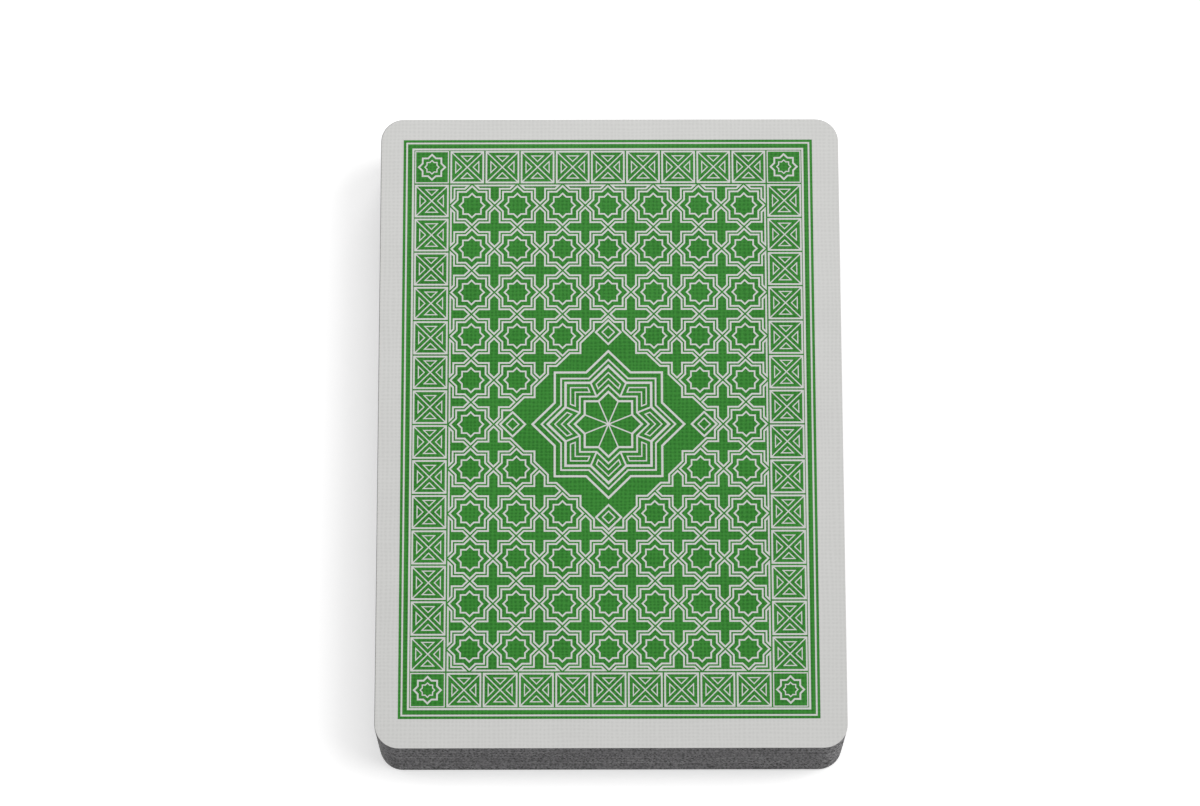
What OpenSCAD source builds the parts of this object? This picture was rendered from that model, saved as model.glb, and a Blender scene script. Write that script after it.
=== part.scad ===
// Squared deck of playing cards lying face down: one solid for each card, from the bottom of the deck upwards.
// Origin at the middle of the deck's underside, +Z up, +Y along a card's length, millimetres.

/* [Card] */
// Width of a card
card_w = 63.5; // [50:0.1:80]
// Length of a card
card_l = 88.9; // [70:0.1:130]
// Thickness of a card, with its two paper plies and the dark glue between them
card_t = 0.28; // [0.2:0.01:0.5]
// Radius of a card's die-cut corners
corner_r = 3.2; // [1:0.1:10]

/* [Deck] */
// Air left between a card and the next
air_gap = 0.02; // [0.01:0.01:0.1]
// Furthest that a card lies out of square with the deck
stray = 0.06; // [0:0.01:0.3]

/* [Hidden] */
suits = ["spades", "hearts", "clubs", "diamonds"];
ranks = ["ace", "two", "three", "four", "five", "six", "seven", "eight", "nine", "ten",
    "jack", "queen", "king"];
jokers = ["joker_one", "joker_two"];

NODES = concat([for (suit = suits, rank = ranks) str(rank, "_of_", suit)], jokers);

// Height from a card's underside to that of the next
pitch = card_t + air_gap;
// Distance of the corners' centres from the middle of a card
corner_x = card_w / 2 - corner_r;
corner_y = card_l / 2 - corner_r;
// Turns between one card's stray and the next card's, chosen so that no run of cards repeats
stray_turn_x = 137.5;
stray_turn_y = 222.5;
$fn = 64;

// Where a card lies, by its place in the deck: the bottom card is true, and the rest stray a little
function card_place(place) =
    [stray * sin(place * stray_turn_x), stray * sin(place * stray_turn_y), place * pitch];

// Outline of a card: two crossed rectangles, with a disc at each corner
module card_outline() {
    square([card_w, 2 * corner_y], center = true);
    square([2 * corner_x, card_l], center = true);
    for (x = [-corner_x, corner_x], y = [-corner_y, corner_y])
        translate([x, y]) circle(r = corner_r);
}

// One card at its place in the deck
module card(place) {
    color("whitesmoke")
        translate(card_place(place))
            linear_extrude(height = card_t) card_outline();
}

for (place = [0 : len(NODES) - 1])
    card(place);
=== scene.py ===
# Squared deck of playing cards lying face down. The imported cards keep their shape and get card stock,
# and the two printed sides of each card are thin layers of ink that ride on it.
import math
import bmesh
import bpy
import numpy as np
from mathutils import Euler, Matrix, Vector


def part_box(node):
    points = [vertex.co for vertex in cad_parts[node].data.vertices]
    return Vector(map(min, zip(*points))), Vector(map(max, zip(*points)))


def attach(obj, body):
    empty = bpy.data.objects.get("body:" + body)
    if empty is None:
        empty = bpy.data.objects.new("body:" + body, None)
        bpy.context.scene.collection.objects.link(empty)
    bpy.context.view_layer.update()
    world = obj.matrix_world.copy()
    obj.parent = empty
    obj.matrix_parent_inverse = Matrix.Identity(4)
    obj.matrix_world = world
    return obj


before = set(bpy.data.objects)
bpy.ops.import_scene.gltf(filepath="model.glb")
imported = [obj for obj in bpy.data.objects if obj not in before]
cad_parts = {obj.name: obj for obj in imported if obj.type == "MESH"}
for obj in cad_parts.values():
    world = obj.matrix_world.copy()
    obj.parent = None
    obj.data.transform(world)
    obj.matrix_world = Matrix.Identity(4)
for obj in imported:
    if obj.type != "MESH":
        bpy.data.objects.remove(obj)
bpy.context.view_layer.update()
scene = bpy.context.scene
mm = 0.001
print("frame loaded:", len(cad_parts), "cards")


def linear(hexColour):
    channels = [int(hexColour[i:i + 2], 16) / 255 for i in (1, 3, 5)]
    return [c / 12.92 if c <= 0.04045 else ((c + 0.055) / 1.055) ** 2.4 for c in channels] + [1.0]


# inputs go by socket, or as a list in the sockets' order. A tuple (node, output) is a link, and the
# rest are values
def addNode(tree, kind, inputs=(), **settings):
    made = tree.nodes.new("ShaderNode" + kind)
    for name, value in settings.items():
        setattr(made, name, value)
    pairs = inputs.items() if isinstance(inputs, dict) else enumerate(inputs)
    for socket, value in pairs:
        if isinstance(value, tuple):
            tree.links.new(value[0].outputs[value[1]], made.inputs[socket])
        else:
            made.inputs[socket].default_value = value
    return made


def newMaterial(name):
    material = bpy.data.materials.new(name)
    material.use_nodes = True
    material.node_tree.nodes.clear()
    return material, material.node_tree


# camera, at the photograph's angle
photoView = {
    "sensor": 36.0,  # mm wide
    "lens": 132.0,  # mm
    "distance": 602.6,  # mm from the aim
    "elevation": 74.77,  # degrees above the table
    "roll": -0.10,  # degrees
    "aim": (-1.39, 3.44, 16.18),  # mm
    "sees": (0.01, 20.0),  # m, nearest and farthest
}


def addCamera():
    lift = math.radians(photoView["elevation"])
    data = bpy.data.cameras.new("photo_camera")
    data.sensor_fit = "HORIZONTAL"
    data.sensor_width = photoView["sensor"]
    data.lens = photoView["lens"]
    data.clip_start, data.clip_end = photoView["sees"]
    camera = bpy.data.objects.new("photo_camera", data)
    scene.collection.objects.link(camera)
    back = Vector((0.0, -math.cos(lift), math.sin(lift)))
    camera.location = (Vector(photoView["aim"]) + back * photoView["distance"]) * mm
    turn = Euler((math.pi / 2 - lift, 0.0, 0.0)).to_matrix()
    roll = Matrix.Rotation(math.radians(photoView["roll"]), 3, "Z")
    camera.rotation_euler = (turn @ roll).to_euler()
    scene.camera = camera


addCamera()
print("camera set")


# studio: white floor, even fill, one soft key from the right, a strip lamp overhead and a small one
# behind the far end
studio = {
    "white": "#FFFFFF",
    "fill": 0.32,  # light from all round, of the 1.0 that shows a colour as written
    "seen": 1.0,  # the same where it is seen directly, so that it is white
    "key": 1.30,  # strength of the key, W per square metre
    "keyHeight": 54.5,  # degrees above the table
    "keyTurn": 2.0,  # degrees behind the right-hand side
    "keySoftness": 37.0,  # degrees that the key spans
    "lamps": {  # W, place in m, size across and along in m, whether the varnish mirrors it
        "strip_lamp": (0.270, (0.0, -0.02, 0.30), (0.30, 0.05), False),
        "back_lamp": (0.043, (0.0, 0.13, 0.15), (0.05, 0.05), True),
    },
    "floorSize": 6.0,  # m
    "floorDrop": 0.02,  # mm under the lowest card
    "floorColour": "#EBEBEB",
    "floorLift": 0.443,  # what the eye gets on top of the floor's own light, so that it is white
}


def seenDirectly(tree):  # 1 for what the camera, a mirror or a glass shows
    path = addNode(tree, "LightPath")
    inAir = [(path, "Is Camera Ray"), (path, "Is Glossy Ray")]
    cameraOrMirror = addNode(tree, "Math", inAir, operation="MAXIMUM")
    withGlass = [(cameraOrMirror, 0), (path, "Is Transmission Ray")]
    return addNode(tree, "Math", withGlass, operation="MAXIMUM")


def addStudio():
    world = bpy.data.worlds.new("studio")
    world.use_nodes = True
    scene.world = world
    tree = world.node_tree
    tree.nodes.clear()
    strengths = {0: (seenDirectly(tree), 0), 3: studio["fill"], 4: studio["seen"]}
    strength = addNode(tree, "MapRange", strengths)
    sky = addNode(tree, "Background", {"Color": linear(studio["white"]), "Strength": (strength, 0)})
    addNode(tree, "OutputWorld", {"Surface": (sky, 0)})

    keyData = bpy.data.lights.new("key", "SUN")
    keyData.energy = studio["key"]
    keyData.angle = math.radians(studio["keySoftness"])
    key = bpy.data.objects.new("key", keyData)
    scene.collection.objects.link(key)
    height = math.radians(studio["keyHeight"])
    turn = Matrix.Rotation(math.radians(studio["keyTurn"]), 3, "Z")
    towards = turn @ Vector((math.cos(height), 0.0, math.sin(height)))
    key.rotation_euler = towards.to_track_quat("Z", "Y").to_euler()

    for name, (power, place, size, mirrored) in studio["lamps"].items():
        lampData = bpy.data.lights.new(name, "AREA")
        lampData.shape = "RECTANGLE"
        lampData.energy = power
        lampData.size, lampData.size_y = size
        lamp = bpy.data.objects.new(name, lampData)
        scene.collection.objects.link(lamp)
        lamp.location = place
        lamp.rotation_euler = Vector(place).to_track_quat("Z", "Y").to_euler()
        lamp.visible_camera = False
        lamp.visible_glossy = mirrored

    bm = bmesh.new()
    bmesh.ops.create_grid(bm, x_segments=1, y_segments=1, size=studio["floorSize"] / 2)
    bmesh.ops.translate(bm, vec=(0.0, 0.0, -studio["floorDrop"] * mm), verts=bm.verts[:])
    mesh = bpy.data.meshes.new("floor")
    bm.to_mesh(mesh)
    bm.free()
    material, tree = newMaterial("matt_white_floor")
    paint = addNode(tree, "BsdfDiffuse", {"Color": linear(studio["floorColour"])})
    lift = addNode(tree, "Math", [(seenDirectly(tree), 0), studio["floorLift"]], operation="MULTIPLY")
    glow = addNode(tree, "Emission", {"Color": linear(studio["white"]), "Strength": (lift, 0)})
    both = addNode(tree, "AddShader", [(paint, 0), (glow, 0)])
    addNode(tree, "OutputMaterial", {"Surface": (both, 0)})
    mesh.materials.append(material)
    floor = bpy.data.objects.new("floor", mesh)
    scene.collection.objects.link(floor)


addStudio()
scene.view_settings.view_transform = "Standard"
print("studio lit")


# card stock and inks. Tones multiply a colour, and a span is the part of a noise's 0 to 1 that is used
stock = {
    "pitch": 0.30,  # mm from one card to the next
    "thickness": 0.28,  # mm
    "linenPitch": (0.57, 0.535),  # mm between the rows of pits, across and along
    "linenWander": 4.0,  # how far the rows wander, in radians of a row
    "linenRun": 0.15,  # how fast they wander along themselves, of how fast across
    "linenRow": 0.25,  # depth of one row's pits, of 1
    "linenCrossing": 0.5,  # what is added where two rows cross
    "linenDepth": 0.008,  # mm
    "linenStrength": 0.6,  # how much of that depth shades
    "face": ("#CCCCCA", "#C4C4C2"),  # on the ridges, and darker in the pits as painted shade in the weave
    "mottle": 6.0,  # mm, cloudiness of paper and ink
    "grit": 0.30,  # mm, their fine unevenness
    "mottleSpan": (0.3, 0.7),  # of both
    "mottleShare": (-0.12, 0.18),  # what it adds to the way from ridge to pit
    "gritShare": (-0.25, 0.25),
    "paperRoughness": (0.42, 0.52),  # satin varnish
    "inkRoughness": (0.40, 0.50),
    "specular": 0.25,  # of the varnish
    "ior": 1.46,
    "rim": "#848384",  # painted shade on the outermost hair's breadth of a face, where a card sticks out from under the one above
    "rimCorner": (28.65, 41.25),  # mm, middle of the round of a corner, across and along
    "rimRadius": 3.15,  # mm from there to where the rim is full
    "rimWidth": 0.05,  # mm
    "edge": "#8A898A",
    "core": "#565659",
    "coreWidth": 0.05,  # mm of dark glue between the two plies
    "fibre": 0.32,  # mm, grain along a cut edge, drawn coarser than real fibres so that it shows
    "run": 14.0,  # mm, length of the lighter and darker stretches along it
    "apart": 10.0,  # mm in the noise from card to card, so that no two share their fibres
    "fibreSpan": (0.34, 0.66),  # of both
    "fibreTones": (0.58, 1.48),
    "runTones": (0.82, 1.18),
    "cardTones": (0.78, 1.22),  # from card to card
    "rimTones": (0.2, 2.0),
    "edgeRoughness": 0.9,
}
# each ink is deeper in the linen's pits: partly ink pooled there, partly painted shade
inks = {
    "green": ("#317F2A", "#1A6215"),  # on the ridges, and deeper in the pits, partly ink pooled there and partly painted shade
    "black": ("#1E1D1F", "#121113"),
    "red": ("#B5201F", "#8E1415"),
}


def addGrain(tree, place):  # linen is 1 in a pit and 0 on the ridges; tone adds the paper's unevenness
    run = stock["linenRun"]
    waves = []
    stretches = [Vector((1.0, run, 1.0)), Vector((run, 1.0, 1.0))]
    for direction, pitch, stretch in zip("XY", stock["linenPitch"], stretches):
        drawn = addNode(tree, "VectorMath", [(place, "Object"), stretch], operation="MULTIPLY")
        scale = 2 * math.pi / 20 / (pitch * mm)  # a wave's own period is 2 pi / 20 at scale 1
        settings = {"Vector": (drawn, 0), "Scale": scale, "Distortion": stock["linenWander"], "Detail": 1.0}
        waves.append(addNode(tree, "TexWave", settings, bands_direction=direction))
    both = [(wave, "Fac") for wave in waves]
    rows = addNode(tree, "Math", both, operation="ADD")
    crossings = addNode(tree, "Math", both, operation="MULTIPLY")
    deepest = addNode(tree, "Math", [(crossings, 0), stock["linenCrossing"]], operation="MULTIPLY")
    depths = [(rows, 0), stock["linenRow"], (deepest, 0)]
    linen = addNode(tree, "Math", depths, operation="MULTIPLY_ADD")
    clouds = 1 / (stock["mottle"] * mm)
    cloud = addNode(tree, "TexNoise", {"Vector": (place, "Object"), "Scale": clouds, "Detail": 3.0})
    haze = addNode(tree, "MapRange", [(cloud, "Fac"), *stock["mottleSpan"], *stock["mottleShare"]])
    specks = addNode(tree, "TexNoise", {"Vector": (place, "Object"), "Scale": 1 / (stock["grit"] * mm)})
    grit = addNode(tree, "MapRange", [(specks, "Fac"), *stock["mottleSpan"], *stock["gritShare"]])
    uneven = addNode(tree, "Math", [(haze, 0), (grit, 0)], operation="ADD")
    # tone mixes the ridge colour towards the pit colour, so it carries the painted shade of the pits
    tone = addNode(tree, "Math", [(linen, 0), (uneven, 0)], operation="ADD", use_clamp=True)
    return linen, cloud, tone


def makeCardStock():
    # two plies of coated paper, glued with a dark core, embossed with a linen grain and varnished:
    # satin white faces with a fine weave, and rough grey fibres where the cards were cut
    material, tree = newMaterial("varnished_linen_card")
    place = addNode(tree, "TexCoord")
    linen, cloud, tone = addGrain(tree, place)
    # the darker colour in the linen's pits is painted shade
    ridge, pit = (linear(colour) for colour in stock["face"])
    face = addNode(tree, "Mix", {0: (tone, 0), 6: ridge, 7: pit}, data_type="RGBA")

    # the cut edge: each card has its own tone, light and dark runs, a grain of fibres and the dark core
    spot = addNode(tree, "SeparateXYZ", [(place, "Object")])
    perMetre = 1 / (stock["pitch"] * mm)
    slack = 0.02  # of a card, so that an underside counts with its own card
    count = addNode(tree, "Math", [(spot, "Z"), perMetre, slack], operation="MULTIPLY_ADD")
    number = addNode(tree, "Math", [(count, 0)], operation="FLOOR")
    apart = addNode(tree, "Math", [(number, 0), stock["apart"] * mm], operation="MULTIPLY")
    along = addNode(tree, "CombineXYZ", [(spot, "X"), (spot, "Y"), (apart, 0)])
    chance = addNode(tree, "TexWhiteNoise", {"W": (number, 0)}, noise_dimensions="1D")
    cardTone = addNode(tree, "MapRange", [(chance, "Value"), 0.0, 1.0, *stock["cardTones"]])
    perRun = 1 / (stock["run"] * mm)
    runs = addNode(tree, "TexNoise", {"Vector": (along, 0), "Scale": perRun, "Detail": 1.0})
    runTone = addNode(tree, "MapRange", [(runs, "Fac"), *stock["fibreSpan"], *stock["runTones"]])
    perFibre = 1 / (stock["fibre"] * mm)
    fibres = addNode(tree, "TexNoise", {"Vector": (along, 0), "Scale": perFibre, "Detail": 2.0})
    fibreTone = addNode(tree, "MapRange", [(fibres, "Fac"), *stock["fibreSpan"], *stock["fibreTones"]])
    ownTone = addNode(tree, "Math", [(cardTone, 0), (runTone, 0)], operation="MULTIPLY")
    edgeTone = addNode(tree, "Math", [(ownTone, 0), (fibreTone, 0)], operation="MULTIPLY")
    edgeColour = linear(stock["edge"])[:3]
    edge = addNode(tree, "VectorMath", {0: edgeColour, "Scale": (edgeTone, 0)}, operation="SCALE")
    height = addNode(tree, "Math", [(spot, "Z"), stock["pitch"] * mm], operation="MODULO")
    half, reach = stock["thickness"] / 2 * mm, stock["coreWidth"] / 2 * mm
    core = addNode(tree, "Math", [(height, 0), half, reach], operation="COMPARE")
    cut = addNode(tree, "Mix", {0: (core, 0), 6: (edge, 0), 7: linear(stock["core"])}, data_type="RGBA")

    # a darker rim round the face of every card but the top one, speckled like the edge: painted shade on
    # the ledges where a card sticks out from under the one above; the top card, which nothing covers, has
    # none
    quarter = addNode(tree, "VectorMath", [(place, "Object")], operation="ABSOLUTE")
    farUp = 1000.0  # mm, so that height doesn't count
    cornerMiddle = Vector((*stock["rimCorner"], farUp)) * mm
    fromCorner = addNode(tree, "VectorMath", [(quarter, 0), cornerMiddle], operation="SUBTRACT")
    outside = addNode(tree, "VectorMath", [(fromCorner, 0)], operation="MAXIMUM")  # nothing below 0
    away = addNode(tree, "VectorMath", [(outside, 0)], operation="LENGTH")
    rimStart = (stock["rimRadius"] - stock["rimWidth"]) * mm
    rimBand = addNode(tree, "MapRange", [(away, 1), rimStart, stock["rimRadius"] * mm])
    belowTop = len(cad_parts) - 1.5  # between the numbers of the top two cards, which count from 0
    covered = addNode(tree, "Math", [(number, 0), belowTop], operation="LESS_THAN")
    # the painted shade of the rim, only on cards that lie under another
    rim = addNode(tree, "Math", [(rimBand, 0), (covered, 0)], operation="MULTIPLY")
    rimTone = addNode(tree, "MapRange", [(fibres, "Fac"), *stock["fibreSpan"], *stock["rimTones"]])
    rimColour = linear(stock["rim"])[:3]
    rough = addNode(tree, "VectorMath", {0: rimColour, "Scale": (rimTone, 0)}, operation="SCALE")
    rimmed = addNode(tree, "Mix", {0: (rim, 0), 6: (face, 2), 7: (rough, 0)}, data_type="RGBA")

    # faces lie flat and have the varnish, edges stand and are bare fibres
    facing = addNode(tree, "SeparateXYZ", [(place, "Normal")])
    upright = addNode(tree, "Math", [(facing, "Z")], operation="ABSOLUTE")
    onFace = addNode(tree, "Math", [(upright, 0), 0.5], operation="GREATER_THAN")
    colour = addNode(tree, "Mix", {0: (onFace, 0), 6: (cut, 2), 7: (rimmed, 2)}, data_type="RGBA")
    satin = addNode(tree, "MapRange", [(cloud, "Fac"), *stock["mottleSpan"], *stock["paperRoughness"]])
    bareOrSatin = {0: (onFace, 0), 2: stock["edgeRoughness"], 3: (satin, 0)}
    gloss = addNode(tree, "Mix", bareOrSatin, data_type="FLOAT")
    shine = addNode(tree, "Math", [(onFace, 0), stock["specular"]], operation="MULTIPLY")
    relief = addNode(tree, "Mix", {0: (onFace, 0), 2: (fibres, "Fac"), 3: (linen, 0)}, data_type="FLOAT")
    bump = addNode(tree, "Bump", {
        "Height": (relief, 0), "Strength": stock["linenStrength"], "Distance": stock["linenDepth"] * mm,
    }, invert=True)
    card = addNode(tree, "BsdfPrincipled", {
        "Base Color": (colour, 2), "Roughness": (gloss, 0), "Normal": (bump, 0), "IOR": stock["ior"],
        "Specular IOR Level": (shine, 0)})
    addNode(tree, "OutputMaterial", {"Surface": (card, 0)})
    return material


def makeInk(name, colours):
    # offset ink under the same varnish: follows the linen grain of the paper, a little cloudy in the solids
    material, tree = newMaterial(name)
    place = addNode(tree, "TexCoord")
    linen, cloud, tone = addGrain(tree, place)
    # deeper in the pits: partly pooled ink, partly painted shade
    ridge, pit = (linear(colour) for colour in colours)
    colour = addNode(tree, "Mix", {0: (tone, 0), 6: ridge, 7: pit}, data_type="RGBA")
    satin = addNode(tree, "MapRange", [(cloud, "Fac"), *stock["mottleSpan"], *stock["inkRoughness"]])
    bump = addNode(tree, "Bump", {
        "Height": (linen, 0), "Strength": stock["linenStrength"], "Distance": stock["linenDepth"] * mm,
    }, invert=True)
    ink = addNode(tree, "BsdfPrincipled", {
        "Base Color": (colour, 2), "Roughness": (satin, 0), "Normal": (bump, 0), "IOR": stock["ior"],
        "Specular IOR Level": stock["specular"]})
    addNode(tree, "OutputMaterial", {"Surface": (ink, 0)})
    return material


cardStock = makeCardStock()
greenInk = makeInk("green_offset_ink", inks["green"])
blackInk = makeInk("black_offset_ink", inks["black"])
redInk = makeInk("red_offset_ink", inks["red"])
print("stock and inks mixed")


# back: a field of eight-pointed stars and crosses round one large star, in a border of cut squares.
# Rings run from a shape's edge inwards as (width in mm, inked)
backPrint = {
    "offset": (-0.3, 0.5),  # mm, the print sits a little off the card's middle
    "starPitch": 6.28,  # mm
    "stars": (7, 11),  # across and along the card
    "starRings": [(0.10, True), (0.24, False), (0.54, True), (0.22, False)],
    "crossRings": [(0.10, True), (0.24, False)],
    "clearing": 2.1,  # star pitches, radius of the cells that make room for the large star
    "clearingRings": [(0.10, True), (0.26, False)],
    "largeStar": 10.6,  # mm, middle to tip
    "largeRings": [(0.30, False), (0.60, True), (0.24, False), (0.32, True), (0.22, False)],
    "petalDepth": 1.9,  # mm
    "petalRings": [(0.12, False), (0.42, True), (0.18, False)],
    "heartRings": [(0.12, False), (0.40, True), (0.20, False)],
    "kiteRings": [(0.09, False)],
    "diamond": 1.9,  # mm, in the four points of the clearing
    "diamondAt": 13.1,  # mm
    "diamondRings": [(0.26, False), (0.40, True), (0.18, False)],
    "bandWidth": 4.92,  # mm
    "bandTiles": (9, 14),
    "tileRings": [(0.10, True), (0.16, False)],
    "wedgeRings": [(0.08, False), (0.42, True), (0.15, False)],
    "cornerStar": 2.0,  # mm
    "cornerRings": [(0.24, False), (0.40, True), (0.16, False)],
    "frameRings": [(0.36, True), (0.24, False), (0.62, True), (0.28, False)],
    "weld": 0.01,  # mm within which two corners are one
    "cutSlack": 0.001,  # mm within which a corner lies on the field's edge
}
starTips = 8
starWaist = math.cos(2 * math.pi / starTips) / math.cos(math.pi / starTips)  # inner over outer radius


def addRings(bm, faces, ringWidths, bare):  # faces shrink to what is inside the rings
    for width, inked in ringWidths:
        ring = bmesh.ops.inset_individual(bm, faces=faces, thickness=width * mm, use_even_offset=True)
        if not inked:
            bare += ring["faces"]


def addCell(bm, centre, radii, points=2 * starTips):  # a flat shape whose corners take the radii in turn
    corners = bmesh.ops.create_circle(bm, cap_ends=True, segments=points, radius=1.0)["verts"]
    for i, corner in enumerate(corners):
        corner.co = (corner.co * radii[i % len(radii)] + Vector((*centre, 0.0))) * mm
    return corners[0].link_faces[0]


def addTile(bm, centre, width, length):
    corners = bmesh.ops.create_grid(bm, x_segments=1, y_segments=1, size=0.5)["verts"]
    bmesh.ops.scale(bm, vec=(width * mm, length * mm, 1.0), verts=corners)
    bmesh.ops.translate(bm, vec=(centre[0] * mm, centre[1] * mm, 0.0), verts=corners)
    return corners[0].link_faces[0]


def inlay(bm, ground, motifs):  # fills the ground round the motifs set into it
    edges = list(ground.edges) + [edge for motif in motifs for edge in motif.edges]
    bmesh.ops.delete(bm, geom=[ground], context="FACES_ONLY")
    bmesh.ops.triangle_fill(bm, use_beauty=True, edges=edges, normal=(0.0, 0.0, 1.0))


def joinAtTips(bm, faces):  # takes out the spokes that run to a star's tips, so each tip is one face
    inside = set(faces)
    spokes = {edge for face in faces for edge in face.edges
              if all(side in inside for side in edge.link_faces) and len(edge.link_faces) == 2}
    spokes = sorted(spokes, key=lambda edge: -max(end.co.length_squared for end in edge.verts))
    bmesh.ops.dissolve_edges(bm, edges=spokes[:starTips], use_verts=False)


def makeBackMesh():
    bm = bmesh.new()
    bare = []
    crossMark, petalMark, kiteMark = 1, 2, 3  # told apart by material_index while the print is drawn
    pitch = backPrint["starPitch"]
    across, along = backPrint["stars"]
    width, length = across * pitch, along * pitch
    tip = 0.5 * pitch  # neighbours touch
    waist = tip * starWaist
    notch = (math.sqrt(0.5) - 0.5) * pitch  # what a star's tip leaves of the way to the middle of a cross

    # stars and the crosses between them share their edges, and the field's edge cuts the outer crosses
    for i in range(across):
        for j in range(along):
            spot = ((i - (across - 1) / 2) * pitch, (j - (along - 1) / 2) * pitch)
            addCell(bm, spot, (tip, waist))
    for i in range(across + 1):
        for j in range(along + 1):
            spot = ((i - across / 2) * pitch, (j - along / 2) * pitch)
            cross = addCell(bm, spot, (tip, waist, notch, waist))
            cross.material_index = crossMark
    bmesh.ops.remove_doubles(bm, verts=bm.verts[:], dist=backPrint["weld"] * mm)
    for side in (Vector((1, 0, 0)), Vector((-1, 0, 0)), Vector((0, 1, 0)), Vector((0, -1, 0))):
        edge = Vector((side.x * width / 2 * mm, side.y * length / 2 * mm, 0.0))
        bmesh.ops.bisect_plane(bm, geom=bm.verts[:] + bm.edges[:] + bm.faces[:], plane_co=edge,
                               plane_no=side, dist=backPrint["cutSlack"] * mm, clear_outer=True)

    # the cells in the middle join into one clearing
    reach = backPrint["clearing"] * pitch * mm
    middle = [face for face in bm.faces if face.calc_center_median().length < reach]
    clearing = bmesh.ops.dissolve_faces(bm, faces=middle, use_verts=True)["region"]
    cells = [face for face in bm.faces if face not in clearing]
    stars = [face for face in cells if face.material_index != crossMark]
    crosses = [face for face in cells if face.material_index == crossMark]
    addRings(bm, stars, backPrint["starRings"], bare)
    addRings(bm, crosses, backPrint["crossRings"], bare)
    addRings(bm, clearing, backPrint["clearingRings"], bare)

    # the large star and four diamonds, set into the clearing
    radius = backPrint["largeStar"]
    largeStar = addCell(bm, (0.0, 0.0), (radius, radius * starWaist))
    far = backPrint["diamondAt"]
    points = [(far, 0.0), (-far, 0.0), (0.0, far), (0.0, -far)]
    diamonds = [addCell(bm, spot, (backPrint["diamond"],), 4) for spot in points]
    inlay(bm, clearing[0], [largeStar] + diamonds)
    addRings(bm, diamonds, backPrint["diamondRings"], bare)
    addRings(bm, [largeStar], backPrint["largeRings"], bare)
    petals = bmesh.ops.inset_individual(bm, faces=[largeStar], thickness=backPrint["petalDepth"] * mm,
                                        use_even_offset=True)["faces"]
    for face in petals:
        face.material_index = petalMark
    joinAtTips(bm, petals)
    petals = [face for face in bm.faces if face.material_index == petalMark]
    addRings(bm, petals, backPrint["petalRings"], bare)
    addRings(bm, [largeStar], backPrint["heartRings"], bare)
    kites = bmesh.ops.poke(bm, faces=[largeStar])["faces"]
    for face in kites:
        face.material_index = kiteMark
    joinAtTips(bm, kites)
    kites = [face for face in bm.faces if face.material_index == kiteMark]
    addRings(bm, kites, backPrint["kiteRings"], bare)

    # border of squares, each cut into four wedges, with a star at each corner
    band = backPrint["bandWidth"]
    tilesAcross, tilesAlong = backPrint["bandTiles"]
    tiles = []
    for side in (-1, 1):
        for i in range(tilesAcross):
            spot = ((i - (tilesAcross - 1) / 2) * width / tilesAcross, side * (length + band) / 2)
            tiles.append(addTile(bm, spot, width / tilesAcross, band))
        for j in range(tilesAlong):
            spot = (side * (width + band) / 2, (j - (tilesAlong - 1) / 2) * length / tilesAlong)
            tiles.append(addTile(bm, spot, band, length / tilesAlong))
    addRings(bm, tiles, backPrint["tileRings"], bare)
    wedges = bmesh.ops.poke(bm, faces=tiles)["faces"]
    addRings(bm, wedges, backPrint["wedgeRings"], bare)
    for spot in ((x * (width + band) / 2, y * (length + band) / 2) for x in (-1, 1) for y in (-1, 1)):
        tile = addTile(bm, spot, band, band)
        addRings(bm, [tile], backPrint["tileRings"], bare)
        star = addCell(bm, spot, (backPrint["cornerStar"], backPrint["cornerStar"] * starWaist))
        inlay(bm, tile, [star])
        addRings(bm, [star], backPrint["cornerRings"], bare)

    # two rules round everything
    rules = 2 * sum(ring[0] for ring in backPrint["frameRings"])
    panel = addTile(bm, (0.0, 0.0), width + 2 * band + rules, length + 2 * band + rules)
    addRings(bm, [panel], backPrint["frameRings"], bare)
    bare.append(panel)

    bmesh.ops.delete(bm, geom=list(set(bare)), context="FACES")
    for face in bm.faces:
        face.material_index = 0
    bmesh.ops.recalc_face_normals(bm, faces=bm.faces[:])
    if sum(face.normal.z for face in bm.faces) < 0:
        bmesh.ops.reverse_faces(bm, faces=bm.faces[:])
    offset = Vector((*backPrint["offset"], 0.0)) * mm
    bmesh.ops.translate(bm, vec=offset, verts=bm.verts[:])
    mesh = bpy.data.meshes.new("back_print")
    bm.to_mesh(mesh)
    bm.free()
    return mesh


backMesh = makeBackMesh()
backMesh.calc_loop_triangles()
print("back drawn:", len(backMesh.loop_triangles), "triangles")


# faces: index in two corners and the usual pips; a framed emblem on the court cards, a star on the jokers
facePrint = {
    "index": (-27.2, 36.8, 8.2),  # mm: across, along, height of the rank
    "indexNarrow": 0.72,  # how far the rank is squeezed across
    "indexPip": (-27.2, 28.2, 5.2),
    "bold": 0.02,  # how far a letter's strokes swell, of its size
    "column": 14.2,  # mm from the middle to a side column of pips
    "row": 27.5,  # mm from the middle to the end rows
    "pip": 11.0,  # mm high
    "acePip": 26.0,
    "courtPanel": (43.0, 69.0),  # mm
    "courtRings": [(0.35, True), (0.6, False), (0.25, True)],
    "courtEmblem": (15.0, 21.0),  # mm: along, height
    "courtPip": (-15.6, 27.6, 8.0),
    "jokerStar": 30.0,  # mm high
    "jokerSmall": (5.0, 21.0, 8),  # mm high, mm from the middle, how many
    "roundness": 3,  # steps in each curve of a letter or pip
}
suitMarks = {"spades": "♠", "hearts": "♥", "clubs": "♣", "diamonds": "♦"}
rankMarks = {"ace": "A", "two": "2", "three": "3", "four": "4", "five": "5", "six": "6", "seven": "7",
             "eight": "8", "nine": "9", "ten": "10", "jack": "J", "queen": "Q", "king": "K"}
courtMarks = {"jack": "♞", "queen": "♛", "king": "♚"}
starMark = "★"
pairColumns = [(x, y) for x in (-1, 1) for y in (-1, 1)]
thirdRows = [(x, y) for x in (-1, 1) for y in (-1 / 3, 1 / 3)]
middleSides = [(-1, 0), (1, 0)]
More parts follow.
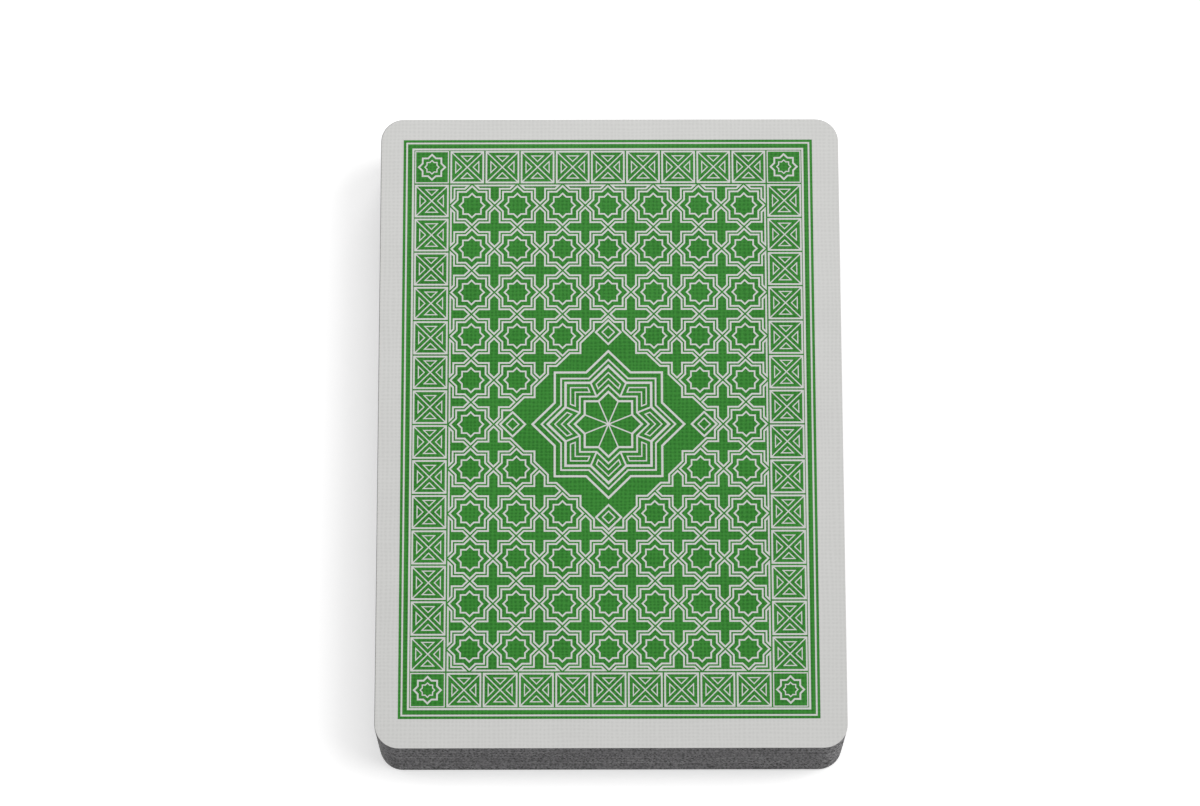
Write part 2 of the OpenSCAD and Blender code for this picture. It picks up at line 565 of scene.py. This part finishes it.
pipPlaces = {  # in columns and rows
    "two": [(0, 1), (0, -1)],
    "three": [(0, 1), (0, 0), (0, -1)],
    "four": pairColumns,
    "five": pairColumns + [(0, 0)],
    "six": pairColumns + middleSides,
    "seven": pairColumns + middleSides + [(0, 0.5)],
    "eight": pairColumns + middleSides + [(0, 0.5), (0, -0.5)],
    "nine": pairColumns + thirdRows + [(0, 0)],
    "ten": pairColumns + thirdRows + [(0, 2 / 3), (0, -2 / 3)],
}
markMeshes = {}


def markMesh(mark):  # a letter or pip, one unit high and centred
    if mark not in markMeshes:
        text = bpy.data.curves.new("mark", "FONT")
        text.body = mark
        text.resolution_u = facePrint["roundness"]
        text.offset = facePrint["bold"] if mark.isalnum() else 0.0
        holder = bpy.data.objects.new("mark", text)
        scene.collection.objects.link(holder)
        bpy.context.view_layer.update()
        mesh = bpy.data.meshes.new_from_object(holder.evaluated_get(bpy.context.evaluated_depsgraph_get()))
        bpy.data.objects.remove(holder)
        corners = [vertex.co for vertex in mesh.vertices]
        low = Vector((min(c.x for c in corners), min(c.y for c in corners), 0.0))
        high = Vector((max(c.x for c in corners), max(c.y for c in corners), 0.0))
        mesh.transform(Matrix.Scale(1 / (high.y - low.y), 4) @ Matrix.Translation(-(low + high) / 2))
        markMeshes[mark] = mesh
    return markMeshes[mark]


def addMark(bm, mark, x, y, height, turned=False, narrow=1.0):
    start = len(bm.verts)
    bm.from_mesh(markMesh(mark))
    bm.verts.ensure_lookup_table()
    turn = Matrix.Rotation(math.pi if turned else 0.0, 4, "Z")
    stretch = Matrix.Diagonal((height * mm * narrow, height * mm, 1.0, 1.0))
    place = Matrix.Translation(Vector((x, y, 0.0)) * mm) @ turn @ stretch
    bmesh.ops.transform(bm, matrix=place, verts=bm.verts[start:])


def addBothWays(bm, mark, x, y, height, narrow=1.0):  # upright and turned, as on a two-headed card
    addMark(bm, mark, x, y, height, False, narrow)
    addMark(bm, mark, -x, -y, height, True, narrow)


def addFace(bm, name):
    if name.startswith("joker"):
        addBothWays(bm, starMark, *facePrint["index"])
        addMark(bm, starMark, 0.0, 0.0, facePrint["jokerStar"])
        height, far, count = facePrint["jokerSmall"]
        for i in range(count):
            turn = 2 * math.pi * (i + 0.5) / count
            addMark(bm, starMark, far * math.sin(turn), far * math.cos(turn), height)
        return
    rank, suit = name.split("_of_")
    pip = suitMarks[suit]
    addBothWays(bm, rankMarks[rank], *facePrint["index"], facePrint["indexNarrow"])
    addBothWays(bm, pip, *facePrint["indexPip"])
    if rank == "ace":
        addMark(bm, pip, 0.0, 0.0, facePrint["acePip"])
    elif rank in courtMarks:
        bare = []
        panel = addTile(bm, (0.0, 0.0), *facePrint["courtPanel"])
        addRings(bm, [panel], facePrint["courtRings"], bare)
        bmesh.ops.delete(bm, geom=bare + [panel], context="FACES")
        along, height = facePrint["courtEmblem"]
        addBothWays(bm, courtMarks[rank], 0.0, along, height)
        addBothWays(bm, pip, *facePrint["courtPip"])
    else:
        for column, row in pipPlaces[rank]:
            x, y = column * facePrint["column"], row * facePrint["row"]
            addMark(bm, pip, x, y, facePrint["pip"], turned=row < 0)


# one piece of print for each card, its back above the stock and its face below it
layers = {
    "back": 0.010,  # mm of ink and varnish over the stock, half the air between two cards
    "face": 0.006,
    "mapWidth": 130.0,  # mm of card across the bake's map, back and face side by side
    "mapLength": 92.0,
    "mapMiddles": (0.25, 0.75),  # of the map's width, where the middles of back and face lie
}


def addBakeMap(mesh):
    spots = np.empty(len(mesh.vertices) * 3)
    mesh.vertices.foreach_get("co", spots)
    ends = np.empty(len(mesh.loops), int)
    mesh.loops.foreach_get("vertex_index", ends)
    spots = spots.reshape(-1, 3)[ends] / mm
    middle = (spots[:, 2].min() + spots[:, 2].max()) / 2
    across = np.where(spots[:, 2] > middle, *layers["mapMiddles"]) + spots[:, 0] / layers["mapWidth"]
    along = 0.5 + spots[:, 1] / layers["mapLength"]
    places = np.stack([across, along], 1).ravel().astype(np.float32)
    mesh.uv_layers.new(name="OFBake").data.foreach_set("uv", places)


def addPrint(name):
    low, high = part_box(name)
    middle = (low + high) / 2
    bm = bmesh.new()
    addFace(bm, name)
    for face in bm.faces:
        face.material_index = 1  # the face's ink, after the back's
    bmesh.ops.rotate(bm, matrix=Matrix.Rotation(math.pi, 3, "Y"), verts=bm.verts[:])
    bmesh.ops.translate(bm, vec=(middle.x, middle.y, low.z - layers["face"] * mm), verts=bm.verts[:])
    start = len(bm.verts)
    bm.from_mesh(backMesh)
    bm.verts.ensure_lookup_table()
    bmesh.ops.translate(bm, vec=(middle.x, middle.y, high.z + layers["back"] * mm), verts=bm.verts[start:])
    mesh = bpy.data.meshes.new(name + ".print")
    bm.to_mesh(mesh)
    bm.free()
    mesh.materials.append(greenInk)
    isRed = name.endswith(("hearts", "diamonds", "joker_two"))
    mesh.materials.append(redInk if isRed else blackInk)
    addBakeMap(mesh)
    piece = bpy.data.objects.new(name + ".print", mesh)
    scene.collection.objects.link(piece)
    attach(piece, name)


for name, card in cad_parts.items():
    for cardSlot in card.material_slots:
        cardSlot.material = cardStock
    addPrint(name)
print("cards printed")
